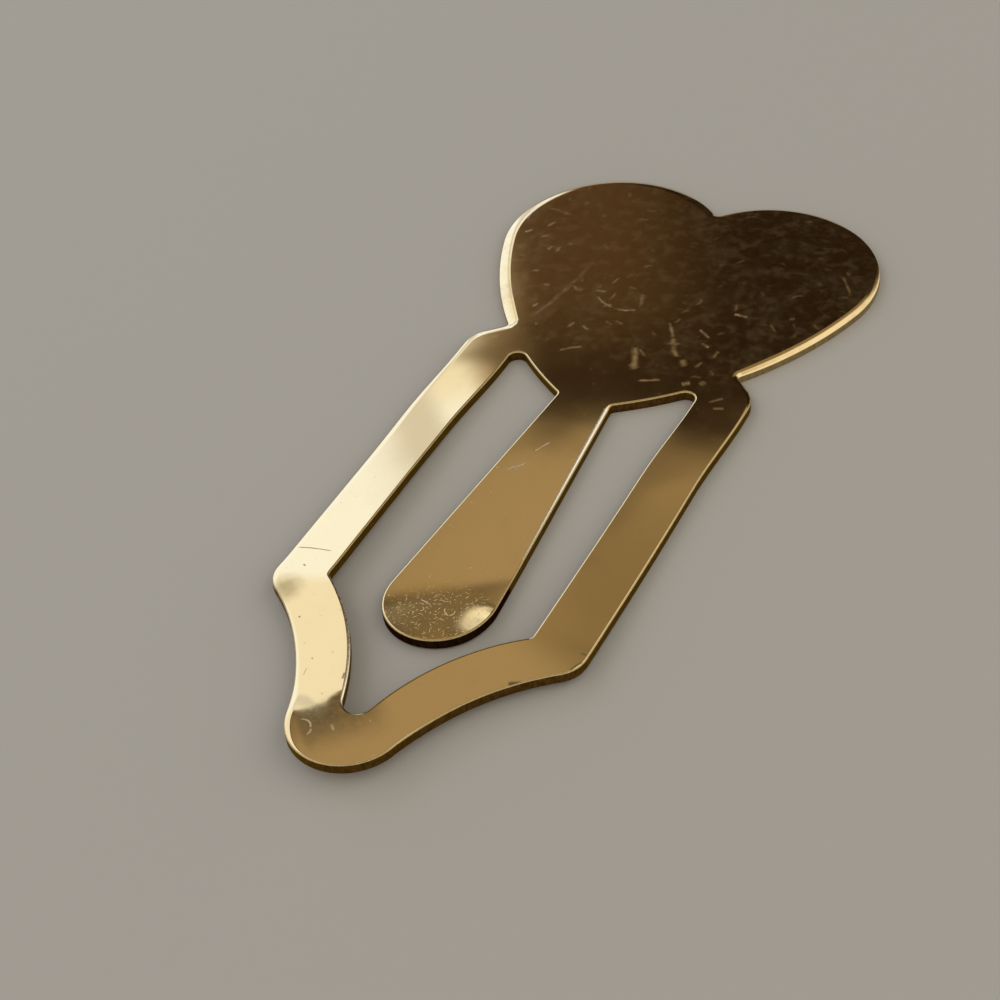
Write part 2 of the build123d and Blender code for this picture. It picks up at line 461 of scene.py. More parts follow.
class SheetPiece:
    """One closed piece of the sheet, made from its stretches of edge in order."""

    def __init__(self, stretches, bend):
        self.points, self.faces, self.kinds, self.finishes, self.held = [], [], [], [], []
        self.bend = bend
        rows = []
        for run, on_slot in stretches:
            rows.append([self.edge_points(spot, on_slot) for spot in run])
            for spot, here, beyond in zip(run, rows[-1], rows[-1][1:]):
                for level, finish in enumerate(edge_finishes(spot, on_slot)):
                    corners = (here[level], here[level + 1], beyond[level + 1], beyond[level])
                    self.face(corners, TOP, finish, held=(here[0], beyond[0]))
        seams = []
        for run, following in zip(rows, rows[1:] + rows[:1]):
            ends = run[-1], following[0]
            seams.append([self.seam_points(ends[0][level], ends[1][level]) for level in (0, -1)])
            top, back = seams[-1]
            cap = ends[0] + back + ends[1][::-1] + top[::-1]
            self.face(cap, CAP, SHEARED_SHADED)
        for level, step, kind in ((0, TOP_STEP, TOP), (-1, BACK_STEP, BACK)):
            edges = [[here[level] for here in run] for run in rows]
            self.fill(edges, [seam[level] for seam in seams], step, kind)

    def add(self, x, y, z):
        self.points.append(Vector((x, y, z)))
        return len(self.points) - 1

    def face(self, corners, kind, finish, held=()):
        """Adds a face. Held corners keep the normal of the flat face beside this one."""
        self.faces.append(tuple(corners))
        self.kinds.append(kind)
        self.finishes.append(finish)
        self.held.append(held)

    def edge_points(self, spot, on_slot):
        inward = edge_sides[id(spot)]
        rows = edge_rows(spot, on_slot)
        return [self.add(*(spot + inward * inset), height) for inset, height in rows]

    def seam_points(self, start, end):
        """Points strictly between two corners of a seam."""
        a, b = self.points[start], self.points[end]
        count = max(1, round((b - a).length / TOP_STEP))
        return [self.add(*a.lerp(b, i / count)) for i in range(1, count)]

    def fill(self, runs, seams, step, kind):
        """Covers the top or the back between the edges and the seams."""
        rim = [corner for run, seam in zip(runs, seams) for corner in run + seam]
        height = self.points[rim[0]].z
        grid, triangles = filling([self.points[i].xy for i in rim], step)
        known = rim + [self.add(p.x, p.y, height) for p in grid]
        for triangle in triangles:
            corners = [known[i] for i in triangle]
            self.face(corners if kind == TOP else corners[::-1], kind, POLISHED)

    def settle(self):
        """Bends the flat piece to the way the used sheet lies."""
        self.points = [self.bend(p) for p in self.points]


arm_outer_x, arm_inner_x = FRAME_WIDTH / 2, FRAME_WIDTH / 2 - ARM_WIDTH
tongue_x = TONGUE_ROOT_WIDTH / 2
sheet_pieces = {
    "heart": SheetPiece(
        [
            (stretch_of(outside_loop, (arm_outer_x, ARM_SEAM), (-arm_outer_x, ARM_SEAM)), False),
            (stretch_of(slot_loop, (-arm_inner_x, ARM_SEAM), (-tongue_x, TONGUE_SEAM)), True),
            (stretch_of(slot_loop, (tongue_x, TONGUE_SEAM), (arm_inner_x, ARM_SEAM)), True),
        ],
        flat,
    ),
    "left_arm": SheetPiece(
        [
            (stretch_of(outside_loop, (-arm_outer_x, ARM_SEAM), (-arm_outer_x, TOE_SEAM)), False),
            (stretch_of(slot_loop, (-arm_inner_x, TOE_SEAM), (-arm_inner_x, ARM_SEAM)), True),
        ],
        sprung_frame,
    ),
    "right_arm": SheetPiece(
        [
            (stretch_of(outside_loop, (arm_outer_x, TOE_SEAM), (arm_outer_x, ARM_SEAM)), False),
            (stretch_of(slot_loop, (arm_inner_x, ARM_SEAM), (arm_inner_x, TOE_SEAM)), True),
        ],
        sprung_frame,
    ),
    "toe": SheetPiece(
        [
            (stretch_of(outside_loop, (-arm_outer_x, TOE_SEAM), (arm_outer_x, TOE_SEAM)), False),
            (stretch_of(slot_loop, (arm_inner_x, TOE_SEAM), (-arm_inner_x, TOE_SEAM)), True),
        ],
        sprung_frame,
    ),
    "tongue": SheetPiece(
        [(stretch_of(slot_loop, (-tongue_x, TONGUE_SEAM), (tongue_x, TONGUE_SEAM)), True)],
        curled_tongue,
    ),
}
for piece in sheet_pieces.values():
    piece.settle()


def spot_key(kind, p):
    """One key for all the corners of one kind of face that lie at a place."""
    return (kind, *(round(value, NORMAL_DIGITS) for value in p))


# Normals are gathered over all the pieces, so that light runs on unbroken from one piece to the next.
shared_normals = {}
for piece in sheet_pieces.values():
    for corners, kind, held in zip(piece.faces, piece.kinds, piece.held):
        if kind != CAP:
            spots = [piece.points[i] for i in corners]
            slant = Vector()
            for i in range(1, len(spots) - 1):
                slant += (spots[i] - spots[0]).cross(spots[i + 1] - spots[0])
            for corner in set(corners) - set(held):
                key = spot_key(kind, piece.points[corner])
                shared_normals[key] = shared_normals.get(key, Vector()) + slant


def sheet_object(name, piece, materials):
    """A piece of the sheet in the frame, with its finishes and the shared normals."""
    mesh = bpy.data.meshes.new(name)
    places = [(p.x * MM, (p.y - CLIP_LENGTH / 2) * MM, p.z * MM) for p in piece.points]
    mesh.from_pydata(places, [], piece.faces)
    for material in materials:
        mesh.materials.append(material)
    mesh.polygons.foreach_set("material_index", piece.finishes)
    mesh.polygons.foreach_set("use_smooth", [True] * len(piece.faces))
    normals = []
    for polygon, kind in zip(mesh.polygons, piece.kinds):
        for corner in polygon.vertices:
            if kind == CAP:
                normals.append(polygon.normal.copy())
            else:
                normals.append(shared_normals[spot_key(kind, piece.points[corner])].normalized())
    mesh.normals_split_custom_set(normals)
    mesh.update()
    made = bpy.data.objects.new(name, mesh)
    bpy.context.scene.collection.objects.link(made)
    return made


# ---------------------------------------------------------------- shader building
class Nodes:
    """Adds and links the nodes of one tree."""

    def __init__(self, tree):
        self.tree = tree

    def add(self, kind, inputs=(), **settings):
        made = self.tree.nodes.new(kind)
        for name, value in settings.items():
            setattr(made, name, value)
        for name, value in dict(inputs).items():
            self.feed(made.inputs[name], value)
        return made

    def feed(self, socket, value):
        if isinstance(value, bpy.types.NodeSocket):
            self.tree.links.new(value, socket)
        else:
            socket.default_value = value

    def math(self, operation, first, second=0.0, clamp=False):
        return self.add(
            "ShaderNodeMath", {0: first, 1: second}, operation=operation, use_clamp=clamp
        ).outputs[0]

    def vector(self, operation, first, second=(0, 0, 0)):
        made = self.add("ShaderNodeVectorMath", {0: first, 1: second}, operation=operation)
        return made.outputs["Value" if operation in ("DOT_PRODUCT", "LENGTH", "DISTANCE") else "Vector"]

    def range(self, value, low, high, start=0.0, end=1.0):
        """Smooth step of a value from low to high."""
        return self.add(
            "ShaderNodeMapRange",
            {"Value": value, "From Min": low, "From Max": high, "To Min": start, "To Max": end},
            interpolation_type="SMOOTHSTEP",
        ).outputs[0]

    def mix(self, share, first, second):
        """Blend of two colours."""
        made = self.add("ShaderNodeMix", {0: share, 6: first, 7: second}, data_type="RGBA")
        return made.outputs[2]

    def blend(self, share, first, second):
        """Blend of two values."""
        made = self.add("ShaderNodeMix", {0: share, 2: first, 3: second}, data_type="FLOAT")
        return made.outputs[0]

    def noise(self, place, scale, detail=2.0, roughness=0.5):
        return self.add(
            "ShaderNodeTexNoise",
            {"Vector": place, "Scale": scale, "Detail": detail, "Roughness": roughness},
        ).outputs["Fac"]

    def group(self, tree, inputs):
        made = self.add("ShaderNodeGroup", node_tree=tree)
        for name, value in inputs.items():
            self.feed(made.inputs[name], value)
        return made.outputs


def shader_group(name, inputs, outputs):
    """A new node group, the feeder for its nodes, and the sockets that it is given and gives."""
    tree = bpy.data.node_groups.new(name, "ShaderNodeTree")
    for label, (kind, value) in inputs.items():
        socket = tree.interface.new_socket(label, in_out="INPUT", socket_type=kind)
        socket.default_value = value
    for label in outputs:
        tree.interface.new_socket(label, in_out="OUTPUT", socket_type="NodeSocketFloat")
    nodes = Nodes(tree)
    given = nodes.add("NodeGroupInput").outputs
    taken = nodes.add("NodeGroupOutput").inputs
    return tree, nodes, given, taken


NUMBER, PLACE = "NodeSocketFloat", "NodeSocketVector"
# Shares of a mark's length, width, radius or strength
LEAST_LENGTH = 0.25
LEAST_STRENGTH = 0.4
SHORT_FADE = (1.0, 0.4)
LINE_FADE = (1.0, 0.0)
END_FADE = (0.0, 0.12)
HUMP_HEIGHT = 0.25
LEAST_RADIUS = 0.3
SPECK_FADE = (1.0, 0.35)
PATCH_RIM = 1.1
# Scale, detail and roughness of the noise that frays a patch
FRAY = (1.6, 4.0, 0.65)
NOISE_MIDDLE = 0.5


def short_scratches_group():
    """Short straight scratches that lie every way, about one in each cell of the surface."""
    tree, nodes, given, taken = shader_group(
        "short scratches",
        {
            "Place": (PLACE, (0, 0, 0)),
            "Cells": (NUMBER, 1.0),
            "Length": (NUMBER, 0.3),
            "Width": (NUMBER, 0.03),
            "Share": (NUMBER, 0.5),
        },
        ["Mask"],
    )
    cells = nodes.add(
        "ShaderNodeTexVoronoi",
        {"Vector": given["Place"], "Scale": given["Cells"]},
        voronoi_dimensions="2D",
    )
    chance = nodes.add("ShaderNodeSeparateColor", {"Color": cells.outputs["Color"]}).outputs
    away = nodes.vector("SUBTRACT", given["Place"], cells.outputs["Position"])
    turned = nodes.add(
        "ShaderNodeVectorRotate",
        {"Vector": away, "Angle": nodes.math("MULTIPLY", chance[0], 2 * pi)},
        rotation_type="Z_AXIS",
    ).outputs[0]
    lies = nodes.add("ShaderNodeSeparateXYZ", {0: turned}).outputs
    length = nodes.math("MULTIPLY", given["Length"], nodes.math("ADD", chance[1], LEAST_LENGTH))
    along = nodes.math("DIVIDE", nodes.math("ABSOLUTE", lies[0]), length)
    across = nodes.math("DIVIDE", nodes.math("ABSOLUTE", lies[1]), given["Width"])
    line = nodes.math("MULTIPLY", nodes.range(along, *SHORT_FADE), nodes.range(across, *LINE_FADE))
    there = nodes.math("LESS_THAN", chance[2], given["Share"])
    strength = nodes.blend(chance[1], LEAST_STRENGTH, 1.0)
    nodes.feed(taken["Mask"], nodes.math("MULTIPLY", nodes.math("MULTIPLY", line, there), strength))
    return tree


def single_scratch_group():
    """One scratch from a start to an end, bowed to its left by a given height."""
    tree, nodes, given, taken = shader_group(
        "single scratch",
        {
            "Place": (PLACE, (0, 0, 0)),
            "Start": (PLACE, (0, 0, 0)),
            "End": (PLACE, (1, 0, 0)),
            "Bow": (NUMBER, 0.0),
            "Width": (NUMBER, 0.05),
        },
        ["Mask"],
    )
    way = nodes.vector("SUBTRACT", given["End"], given["Start"])
    away = nodes.vector("SUBTRACT", given["Place"], given["Start"])
    length_squared = nodes.vector("DOT_PRODUCT", way, way)
    along = nodes.math("DIVIDE", nodes.vector("DOT_PRODUCT", away, way), length_squared)
    left = nodes.vector("CROSS_PRODUCT", (0, 0, 1), way)
    across = nodes.math(
        "DIVIDE", nodes.vector("DOT_PRODUCT", away, left), nodes.math("SQRT", length_squared)
    )
    hump = nodes.math("MULTIPLY", along, nodes.math("SUBTRACT", 1.0, along))
    bow = nodes.math("MULTIPLY", nodes.math("DIVIDE", hump, HUMP_HEIGHT), given["Bow"])
    off = nodes.math("ABSOLUTE", nodes.math("SUBTRACT", across, bow))
    line = nodes.range(nodes.math("DIVIDE", off, given["Width"]), *LINE_FADE)
    ends = nodes.range(hump, *END_FADE)
    nodes.feed(taken["Mask"], nodes.math("MULTIPLY", line, ends))
    return tree


def specks_group():
    """Small round specks, such as dust and pits, in some of the cells of the surface."""
    tree, nodes, given, taken = shader_group(
        "specks",
        {
            "Place": (PLACE, (0, 0, 0)),
            "Cells": (NUMBER, 1.0),
            "Radius": (NUMBER, 0.05),
            "Share": (NUMBER, 0.5),
        },
        ["Mask"],
    )
    cells = nodes.add(
        "ShaderNodeTexVoronoi",
        {"Vector": given["Place"], "Scale": given["Cells"]},
        voronoi_dimensions="2D",
    )
    chance = nodes.add("ShaderNodeSeparateColor", {"Color": cells.outputs["Color"]}).outputs
    radius = nodes.math("MULTIPLY", given["Radius"], nodes.math("ADD", chance[0], LEAST_RADIUS))
    reach = nodes.vector("DISTANCE", given["Place"], cells.outputs["Position"])
    spot = nodes.range(nodes.math("DIVIDE", reach, radius), *SPECK_FADE)
    there = nodes.math("LESS_THAN", chance[1], given["Share"])
    nodes.feed(taken["Mask"], nodes.math("MULTIPLY", spot, there))
    return tree


def handled_and_painted_patch_group():
    """A patch with a ragged edge round a centre, used for the handled tongue end and for a painted dark
    reflection at the elbow.
    """
    tree, nodes, given, taken = shader_group(
        "handled and painted patch",
        {
            "Place": (PLACE, (0, 0, 0)),
            "Centre": (PLACE, (0, 0, 0)),
            "Half Size": (PLACE, (1, 1, 1)),
            "Ragged": (NUMBER, 0.9),
            "Core": (NUMBER, 0.55),
        },
        ["Mask"],
    )
    away = nodes.vector("SUBTRACT", given["Place"], given["Centre"])
    reach = nodes.vector("LENGTH", nodes.vector("DIVIDE", away, given["Half Size"]))
    stray = nodes.math("SUBTRACT", nodes.noise(given["Place"], *FRAY), NOISE_MIDDLE)
    reach = nodes.math("ADD", reach, nodes.math("MULTIPLY", stray, given["Ragged"]))
    nodes.feed(taken["Mask"], nodes.range(reach, PATCH_RIM, given["Core"]))
    return tree


SHORT_SCRATCHES = short_scratches_group()
SINGLE_SCRATCH = single_scratch_group()
SPECKS = specks_group()
HANDLED_AND_PAINTED_PATCH = handled_and_painted_patch_group()


def new_material(name):
    """A new material, the feeder for its nodes, and its shader."""
    material = bpy.data.materials.new(name)
    material.use_nodes = True
    material.node_tree.nodes.clear()
    nodes = Nodes(material.node_tree)
    shader = nodes.add("ShaderNodeBsdfPrincipled")
    nodes.add("ShaderNodeOutputMaterial", {"Surface": shader.outputs[0]})
    return material, nodes, shader


def sheet_place(nodes, upright=0):
    """Place on the blank in millimetres, with this share of the height above it."""
    place = nodes.add("ShaderNodeTexCoord").outputs["Object"]
    return nodes.vector("MULTIPLY", place, (1 / MM, 1 / MM, upright / MM))


# ---------------------------------------------------------------- materials
BRASS = (0.80, 0.60, 0.30, 1)
WORN_BRASS = (0.86, 0.68, 0.40, 1)
TARNISH = (0.44, 0.32, 0.13, 1)
HANDLED_BRASS = (0.80, 0.56, 0.22, 1)
PAINTED_DARK_REFLECTION = (0.30, 0.215, 0.088, 1)
SMUDGED_BRASS = (0.72, 0.42, 0.13, 1)
GRIME = (0.14, 0.085, 0.035, 1)
# Roughness of the polish and of what dulls it, and how metallic a film and a smudge leave it
POLISH_ROUGHNESS = 0.065
FILM_ROUGHNESS = 0.12
HANDLED_ROUGHNESS = 0.09
REFLECTION_PATCH_ROUGHNESS = 0.18
MARK_ROUGHNESS = 0.55
FILM_METAL = 0.975
SMUDGE_METAL = 0.962

# Where the finishes of the heart and of the leaves start and are full, from the middle of the clip
ON_HEART = (5.5, 9.5)
ON_LEAVES = (2.0, -3.0)
# Noises as scale, detail and roughness, and the spans of them that show
GRAIN, GRAIN_SPAN = (2.0, 4.0, 0.6), (0.34, 0.68)
CLOUDS, CLOUD_SPAN = (0.5, 4.0, 0.62), (0.44, 0.72)
CLOUD_STRETCH = (1.0, 0.6, 0)
SMUDGES, SMUDGE_SPAN = (1.0, 3.0, 0.6), (0.48, 0.7)
WAVES = (0.22, 1.0)
WAVE_DEPTH = 0.01
WANDER = {"Scale": 0.9, "Detail": 2.0}
WANDER_REACH = 0.55
SLIGHT_WANDER = 0.3
# Fine marks, scattered one to a cell over a share of the cells
DASHES = {"Cells": 0.9, "Length": 0.4, "Width": 0.17, "Share": 0.34}
HAIRLINES = {"Cells": 4.2, "Length": 0.13, "Width": 0.026, "Share": 0.8}
DUST = {"Cells": 1.6, "Radius": 0.07, "Share": 0.2}
# Strengths of marks, films, tints and painted dark reflections
DASH_STRENGTH = 0.26
HAIRLINE_STRENGTH = 0.36
HEART_DUST, LEAF_DUST = 0.1, 0.45
SCRATCH_DEPTH = 0.2
LEAST_MARK = 0.5
GRAIN_FILM = 0.2
LEAF_FILM = 0.2
FILM_TINT = 0.3
SMUDGE_TINT = 0.25
HANDLED_TINT = 0.6
BAND_SCUFFING = 0.6
ELBOW_PAINTED_REFLECTION = 0.8
LEAST_PAINTED_REFLECTION = 0.8

# Marks seen one by one, in millimetres from the middle of the clip: start, end, bow, width and strength
LIGHT_MARKS = [
    ((-3.3, 12.7), (-2.0, 12.0), -0.1, 0.16, 0.37),
    ((-2.0, 12.0), (-0.6, 12.3), -0.15, 0.16, 0.40),
    ((-1.0, 13.9), (-0.6, 12.5), 0.1, 0.28, 0.28),
    ((-6.1, 9.4), (-5.0, 16.1), -0.2, 0.28, 0.16),
    ((0.7, 9.1), (1.5, 7.2), 0, 0.33, 0.40),
    ((1.2, 7.6), (1.6, 7.2), 0, 0.40, 0.35),
    ((1.6, 11.8), (2.4, 10.5), 0.05, 0.19, 0.37),
    ((2.4, 10.6), (3.4, 8.9), -0.1, 0.26, 0.35),
    ((3.7, 8.9), (4.1, 8.3), 0, 0.33, 0.33),
    ((2.1, 6.3), (3.3, 6.8), 0, 0.15, 0.42),
    ((4.8, 13.8), (5.7, 13.8), 0, 0.22, 0.56),
    ((3.5, 11.8), (4.4, 11.2), 0, 0.18, 0.46),
    ((4.1, 10.6), (4.7, 10.4), 0, 0.22, 0.44),
    ((9.2, 19.4), (10.5, 17.5), 0.1, 0.18, 0.42),
    ((9.8, 17.2), (10.4, 17.5), 0.05, 0.20, 0.30),
    ((6.2, 18.5), (7.5, 18.9), 0.05, 0.19, 0.18),
    ((-10.1, 20.1), (-8.3, 19.9), 0.05, 0.20, 0.18),
    ((-3.2, 7.2), (-2.1, 8.0), 0.05, 0.15, 0.21),
    ((2.1, 17.9), (2.8, 18.3), 0.05, 0.20, 0.21),
    ((8.7, 13.5), (8.7, 12.8), 0.05, 0.25, 0.25),
    ((-4.9, 13.1), (-4.4, 12.9), 0, 0.30, 0.28),
    ((7.9, 14.4), (8.2, 14.6), 0, 0.25, 0.37),
    ((4.5, 6.8), (4.9, 7.1), 0, 0.28, 0.39),
    ((5.5, 7.1), (5.6, 7.5), 0, 0.28, 0.37),
    ((6.9, 5.5), (7.5, 5.7), 0, 0.18, 0.37),
    ((6.5, 5.9), (7.1, 6.5), 0, 0.16, 0.25),
    ((-0.6, -1.2), (-0.1, -0.2), 0.03, 0.09, 0.92),
    ((-1.3, -3.1), (-1.0, -2.7), 0.03, 0.09, 0.92),
    ((-1.0, -3.0), (-0.5, -1.9), 0.04, 0.09, 0.98),
    ((-1.2, -2.8), (-0.7, -2.3), -0.03, 0.08, 0.75),
    ((0.5, -13.5), (1.0, -13.9), -0.1, 0.05, 0.75),
    ((1.0, -13.9), (1.1, -13.5), -0.08, 0.05, 0.7),
    ((-0.9, -13.4), (-0.2, -13.6), 0.03, 0.045, 0.6),
    ((-2.0, -23.0), (-1.2, -23.3), 0.2, 0.09, 0.8),
    ((-1.2, -23.3), (-1.2, -23.7), 0.05, 0.08, 0.7),
    ((-0.5, -22.7), (-0.2, -23.0), 0.03, 0.1, 0.65),
]
DARK_MARKS = [
    ((-8.6, -12.6), (-6.5, -12.4), 0.06, 0.06, 0.75),
    ((-7.5, -13.7), (-7.3, -13.8), 0, 0.08, 0.7),
    ((-5.7, -17.1), (-5.6, -17.2), 0, 0.08, 0.7),
    ((8.2, -15.3), (8.5, -14.5), 0.05, 0.08, 0.85),
    ((8.2, -14.0), (8.5, -14.0), 0, 0.07, 0.8),
    ((5.9, -17.2), (6.5, -16.9), 0, 0.2, 0.95),
    ((-1.4, -20.1), (-1.5, -19.7), 0, 0.09, 0.7),
    ((-3.6, -19.3), (-3.5, -19.4), 0, 0.07, 0.55),
    ((-3.5, -19.9), (-3.4, -20.4), 0, 0.04, 0.4),
]

# Patches: the tongue's end rubbed by use, and a painted dark reflection at the elbow
TONGUE_END_PATCH = {"Centre": (0.45, -13.9, 0), "Half Size": (3.4, 2.5, 1), "Ragged": 0.9, "Core": 0.55}
ELBOW_PATCH = {"Centre": (-7.4, -15.6, 0), "Half Size": (1.15, 1.25, 1), "Ragged": 0.55, "Core": 0.0}

# Dark band over the toe's left limb, a painted dark reflection: middle of the limb, ways along and
# across it, and what it covers
BAND_MIDDLE = (-4.4, -18.4, 0)
BAND_ALONG = (0.69, -0.72, 0)
BAND_ACROSS = (-0.72, -0.69, 0)
BAND_START = (4.2, 4.7)
BAND_END = (7.8, 4.9)
BAND_OUTER = (1.8, 1.35)
BAND_INNER = (-3.0, -1.3)
BAND_FRAY = (2.6, 4.0, 0.65)
BAND_RAGGED = 0.4

# Tears left upright in the cut edge by the punch
TEARS, TEAR_SPAN = (8.0, 3.0, 0.6), (0.35, 0.7)
TEAR_STRETCH = 0.35
TEAR_ROUGHNESS = 0.2
TEAR_ROUGH_SPAN = (0.2, 0.8)
TEAR_STRENGTH = 0.6


def limb_band(nodes, place):
    """Mask of a painted dark reflection that starts sharply and fades towards the toe's end, short of
    the bright outer rim.
    """
    away = nodes.vector("SUBTRACT", place, BAND_MIDDLE)
    down = nodes.vector("DOT_PRODUCT", away, BAND_ALONG)
    aside = nodes.vector("DOT_PRODUCT", away, BAND_ACROSS)
    stray = nodes.math("SUBTRACT", nodes.noise(place, *BAND_FRAY), NOISE_MIDDLE)
    down = nodes.math("ADD", down, nodes.math("MULTIPLY", stray, BAND_RAGGED))
    lengthwise = nodes.math("MULTIPLY", nodes.range(down, *BAND_START), nodes.range(down, *BAND_END))
    crosswise = nodes.math("MULTIPLY", nodes.range(aside, *BAND_OUTER), nodes.range(aside, *BAND_INNER))
    return nodes.math("MULTIPLY", lengthwise, crosswise)


def single_marks(nodes, place, listed):
    """Mask of marks that are listed one by one."""
    joined = 0.0
    for (x0, y0), (x1, y1), bow, width, strength in listed:
        ends = {"Start": (x0, y0, 0), "End": (x1, y1, 0)}
        mark = nodes.group(SINGLE_SCRATCH, {"Place": place, **ends, "Bow": bow, "Width": width})["Mask"]
        joined = nodes.math("MAXIMUM", joined, nodes.math("MULTIPLY", mark, strength))
    return joined


def polished_brass():
    """The sheet's polished faces, with the films, the rubbed tongue end, painted dark reflections,
    scratches and stains of use.
    """
    material, nodes, shader = new_material("polished brass")
    place = sheet_place(nodes)
    along = nodes.add("ShaderNodeSeparateXYZ", {0: place}).outputs[1]
    on_heart = nodes.range(along, *ON_HEART)
    on_leaves = nodes.range(along, *ON_LEAVES)
    stray = nodes.add("ShaderNodeTexNoise", {"Vector": place, **WANDER}).outputs["Color"]
    wander = nodes.vector("SUBTRACT", stray, (NOISE_MIDDLE, NOISE_MIDDLE, NOISE_MIDDLE))
    wander = nodes.vector("MULTIPLY", wander, (WANDER_REACH, WANDER_REACH, 0))
    slight_wander = nodes.vector("MULTIPLY", wander, (SLIGHT_WANDER, SLIGHT_WANDER, 0))
    strayed = nodes.vector("ADD", place, wander)
    nearly = nodes.vector("ADD", place, slight_wander)
    grain = nodes.range(nodes.noise(place, *GRAIN), *GRAIN_SPAN)
    uneven = nodes.blend(grain, LEAST_MARK, 1.0)

    # Patches: the tongue's end rubbed by hands and pages, and painted dark reflections at the elbow and
    # over the toe's left limb
    tongue_end = nodes.group(HANDLED_AND_PAINTED_PATCH, {"Place": place, **TONGUE_END_PATCH})["Mask"]
    elbow = nodes.group(HANDLED_AND_PAINTED_PATCH, {"Place": place, **ELBOW_PATCH})["Mask"]
    band = limb_band(nodes, place)
    painted_reflection_patches = nodes.math("MAXIMUM", band, nodes.math("MULTIPLY", elbow, ELBOW_PAINTED_REFLECTION))
    painted_reflection_patches = nodes.math("MULTIPLY", painted_reflection_patches, nodes.blend(grain, LEAST_PAINTED_REFLECTION, 1.0))

    # Scratches and dust
    dashes = nodes.group(SHORT_SCRATCHES, {"Place": strayed, **DASHES})["Mask"]
    dashes = nodes.math("MULTIPLY", dashes, nodes.math("MULTIPLY", on_heart, DASH_STRENGTH))
    scuffed = nodes.math("MAXIMUM", tongue_end, nodes.math("MULTIPLY", band, BAND_SCUFFING))
    hairlines = nodes.group(SHORT_SCRATCHES, {"Place": strayed, **HAIRLINES})["Mask"]
    hairlines = nodes.math("MULTIPLY", hairlines, nodes.math("MULTIPLY", scuffed, HAIRLINE_STRENGTH))
    scratches = nodes.math("MAXIMUM", dashes, hairlines)
    dust = nodes.group(SPECKS, {"Place": strayed, **DUST})["Mask"]
    dust = nodes.math("MULTIPLY", dust, nodes.blend(on_leaves, HEART_DUST, LEAF_DUST))
    scuffs = nodes.math("MAXIMUM", scratches, dust)
    light_marks = nodes.math("MULTIPLY", single_marks(nodes, nearly, LIGHT_MARKS), uneven)
    scuffs = nodes.math("MAXIMUM", scuffs, light_marks)
    stains = single_marks(nodes, nearly, DARK_MARKS)

    # Films and smudges
    cloud = nodes.noise(nodes.vector("MULTIPLY", place, CLOUD_STRETCH), *CLOUDS)
    film = nodes.math("MULTIPLY", nodes.range(cloud, *CLOUD_SPAN), uneven)
    film = nodes.math("ADD", film, nodes.math("MULTIPLY", grain, GRAIN_FILM), clamp=True)
    film = nodes.math("MULTIPLY", film, nodes.blend(on_heart, LEAF_FILM, 1.0))
    smudges = nodes.range(nodes.noise(strayed, *SMUDGES), *SMUDGE_SPAN)
    smudges = nodes.math("MULTIPLY", smudges, on_heart)

    color = nodes.mix(nodes.math("MULTIPLY", film, FILM_TINT), BRASS, TARNISH)
    color = nodes.mix(nodes.math("MULTIPLY", smudges, SMUDGE_TINT), color, SMUDGED_BRASS)
    color = nodes.mix(nodes.math("MULTIPLY", tongue_end, HANDLED_TINT), color, HANDLED_BRASS)
    # Painted dark reflection at the elbow and over the toe's left limb
    color = nodes.mix(painted_reflection_patches, color, PAINTED_DARK_REFLECTION)
    color = nodes.mix(scuffs, color, WORN_BRASS)
    color = nodes.mix(stains, color, GRIME)
    nodes.feed(shader.inputs["Base Color"], color)
    metal = nodes.blend(film, 1.0, FILM_METAL)
    metal = nodes.blend(smudges, metal, SMUDGE_METAL)
    nodes.feed(shader.inputs["Metallic"], metal)
    rough = nodes.blend(film, POLISH_ROUGHNESS, FILM_ROUGHNESS)
    rough = nodes.blend(painted_reflection_patches, rough, REFLECTION_PATCH_ROUGHNESS)
    rough = nodes.blend(tongue_end, rough, HANDLED_ROUGHNESS)
    rough = nodes.blend(nodes.math("MAXIMUM", scuffs, stains), rough, MARK_ROUGHNESS)
    nodes.feed(shader.inputs["Roughness"], rough)
    grooves = nodes.math("MULTIPLY", scratches, SCRATCH_DEPTH)
    relief = nodes.math("SUBTRACT", nodes.noise(place, *WAVES), grooves)
    bump = nodes.add("ShaderNodeBump", {"Height": relief, "Strength": 1.0, "Distance": WAVE_DEPTH * MM})
    nodes.feed(shader.inputs["Normal"], bump.outputs[0])
    return material


def punched_brass(name, dark, light, rough, depth, glancing=(1, 1, 1, 1)):
    """The sheet's cut edge, with upright tears of a depth and a tint of its own at a glancing angle."""
    material, nodes, shader = new_material(name)
    tears = nodes.noise(sheet_place(nodes, TEAR_STRETCH), *TEARS)
    roughness = nodes.range(tears, *TEAR_ROUGH_SPAN, rough, rough + TEAR_ROUGHNESS)
    relief = {"Height": tears, "Strength": TEAR_STRENGTH, "Distance": depth * MM}
    nodes.feed(shader.inputs["Base Color"], nodes.mix(nodes.range(tears, *TEAR_SPAN), dark, light))
    nodes.feed(shader.inputs["Metallic"], 1.0)
    nodes.feed(shader.inputs["Specular Tint"], glancing)
    nodes.feed(shader.inputs["Roughness"], roughness)
    nodes.feed(shader.inputs["Normal"], nodes.add("ShaderNodeBump", relief).outputs[0])
    return material


def burnished_brass():
    dark, light = (0.36, 0.27, 0.12, 1), (0.48, 0.37, 0.18, 1)
    return punched_brass("burnished edge", dark, light, rough=0.25, depth=0.008)


# Dark sheared walls: partly the cut edge's own colour, partly painted shade of the shadowed floor they
# mirror
def sheared_shaded_brass():
    dark, light = (0.09, 0.045, 0.010, 1), (0.17, 0.09, 0.025, 1)
    glancing = (1.0, 0.8, 0.35, 1)
    return punched_brass("sheared edge with painted shade", dark, light, rough=0.35, depth=0.015, glancing=glancing)


